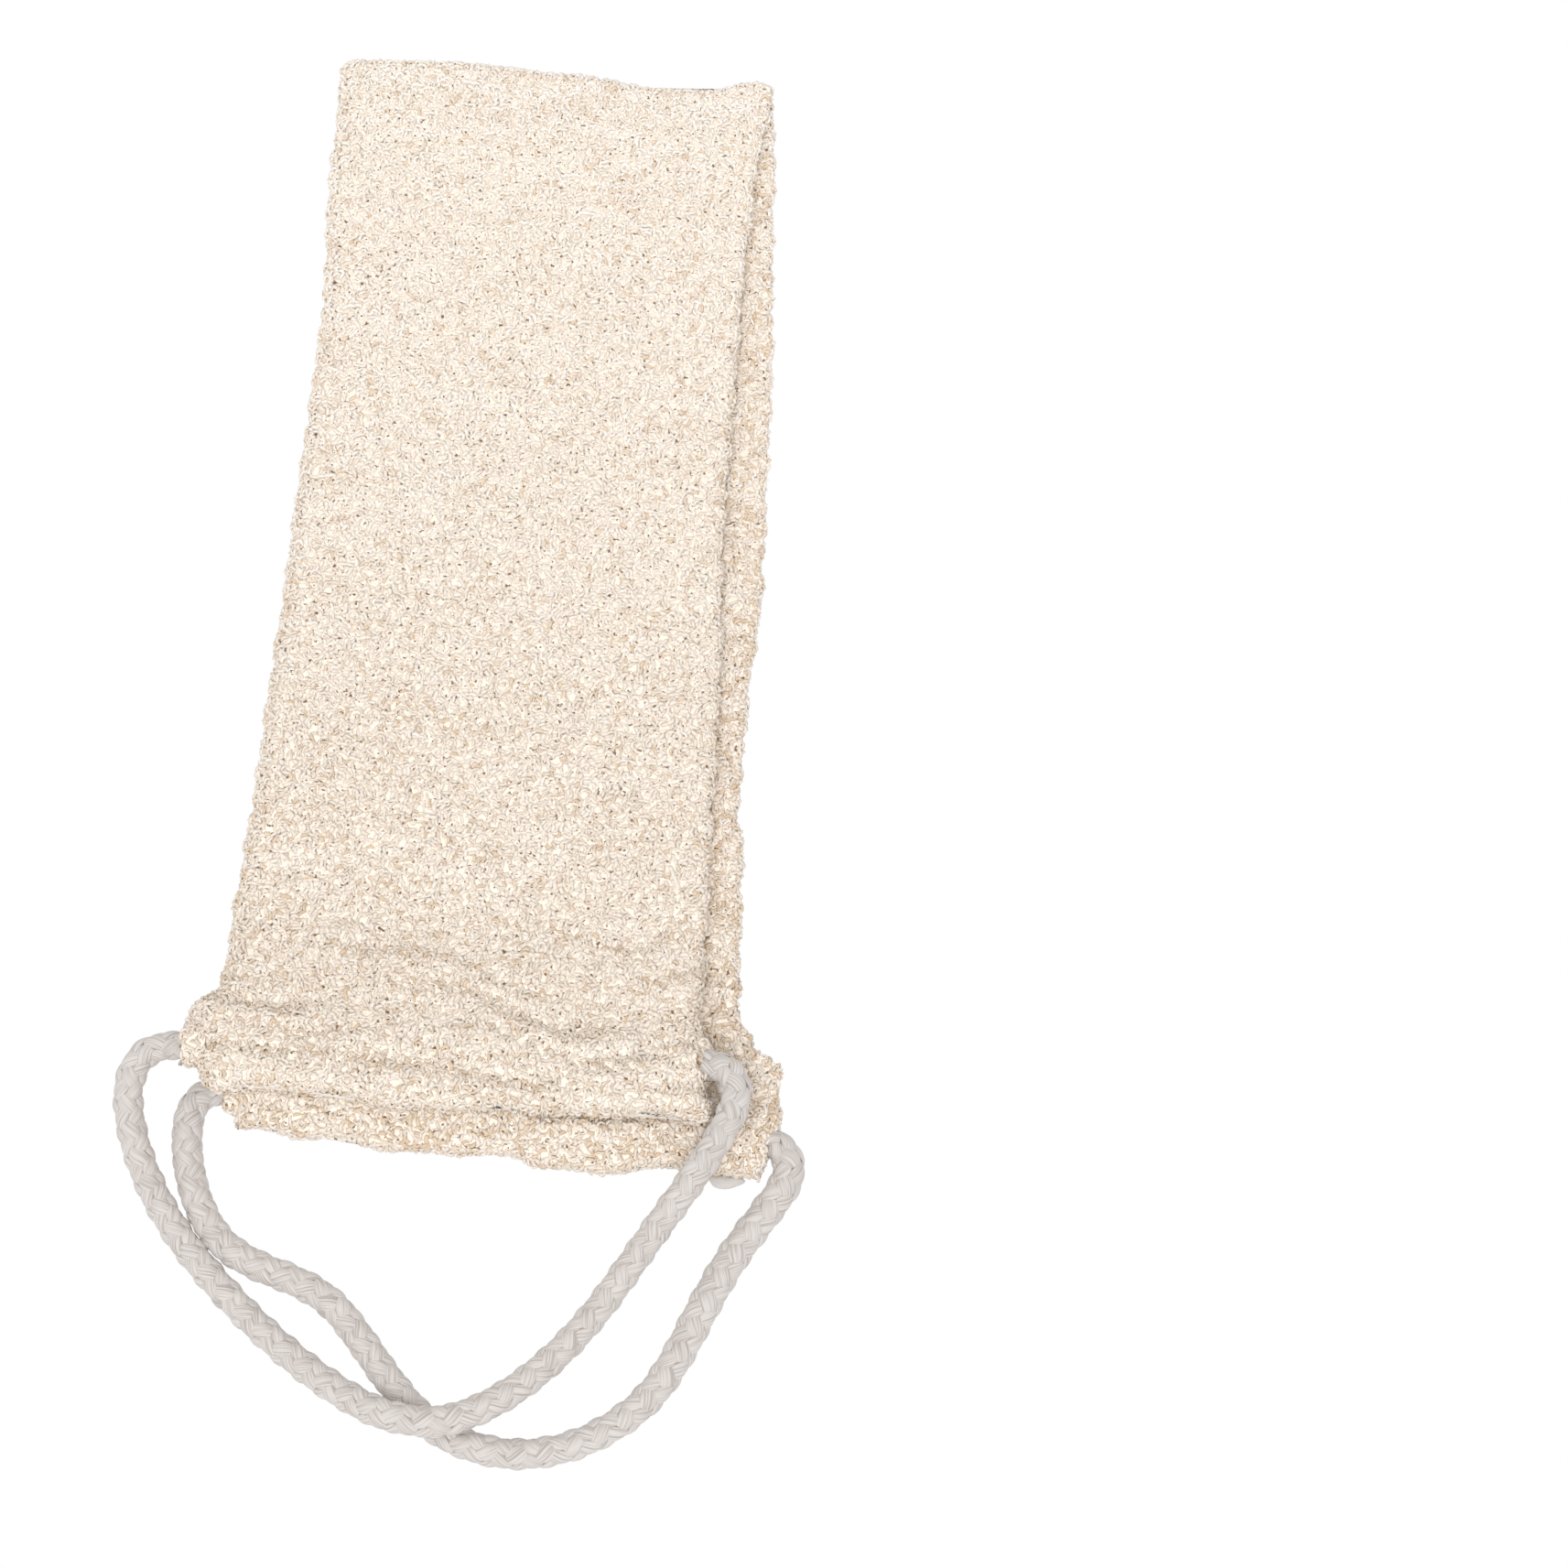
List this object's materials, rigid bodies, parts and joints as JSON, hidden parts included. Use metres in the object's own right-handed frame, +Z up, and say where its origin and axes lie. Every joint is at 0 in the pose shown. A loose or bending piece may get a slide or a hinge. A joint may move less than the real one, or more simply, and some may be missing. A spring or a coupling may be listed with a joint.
{
  "type": "back scrubber strap",
  "caption": "Looped-pile bath strap for scrubbing the back, folded in half, with a braided rope handle through the hem at each end.",
  "frame": {"origin": "on the surface the strap lies on, under the middle of the knit strap without its free rope loops", "axes": "+Z up out of the surface, +Y along the strap towards the fold, +X across the strap; the hems and rope handles are at the -Y end"},
  "size_m": [0.1695, 0.3874, 0.0203],
  "materials": {
    "pile_knit": "matte looped-pile cotton and plant-fibre knit",
    "backing_knit": "matte looped-pile knit, slightly darker inner side",
    "cotton_rope": "braided cotton cord, soft sheen",
    "thread": "twisted sewing thread"
  },
  "bodies": {
    "lower_half": {"lower_face_ply": "pile_knit", "lower_back_ply": "backing_knit", "lower_left_edge_seam": "pile_knit", "lower_right_edge_seam": "pile_knit", "lower_hem_tunnel": "pile_knit", "lower_hem_stitching": "thread", "fold_face_ply": "pile_knit", "fold_back_ply": "backing_knit"},
    "upper_half": {"upper_face_ply": "pile_knit", "upper_back_ply": "backing_knit", "upper_left_edge_seam": "pile_knit", "upper_right_edge_seam": "pile_knit", "upper_hem_tunnel": "pile_knit", "upper_hem_stitching": "thread"},
    "lower_handle": {"lower_handle_rope": "cotton_rope", "lower_handle_rope_in_hem": "cotton_rope", "lower_handle_rope_whipping": "thread"},
    "upper_handle": {"upper_handle_rope": "cotton_rope", "upper_handle_rope_in_hem": "cotton_rope", "upper_handle_rope_whipping": "thread"}
  },
  "joints": [
    {"name": "strap_fold", "type": "hinge", "parent": "lower_half", "child": "upper_half", "pos_m": [-0.0042, 0.15665, 0.00615], "axis": [-1, 0, 0], "range_deg": [0, 175], "deforming": ["fold_face_ply", "fold_back_ply"]},
    {"name": "upper_handle_swing", "type": "hinge", "parent": "upper_half", "child": "upper_handle", "pos_m": [-0.0099, -0.13285, 0.0149], "axis": [-0.9999, -0.012, 0], "range_deg": [0, 120]},
    {"name": "lower_handle_swing", "type": "hinge", "parent": "lower_half", "child": "lower_handle", "pos_m": [0.002, -0.14492, 0.0051], "axis": [-0.9992, 0.04, 0], "range_deg": [-120, 0]}
  ]
}
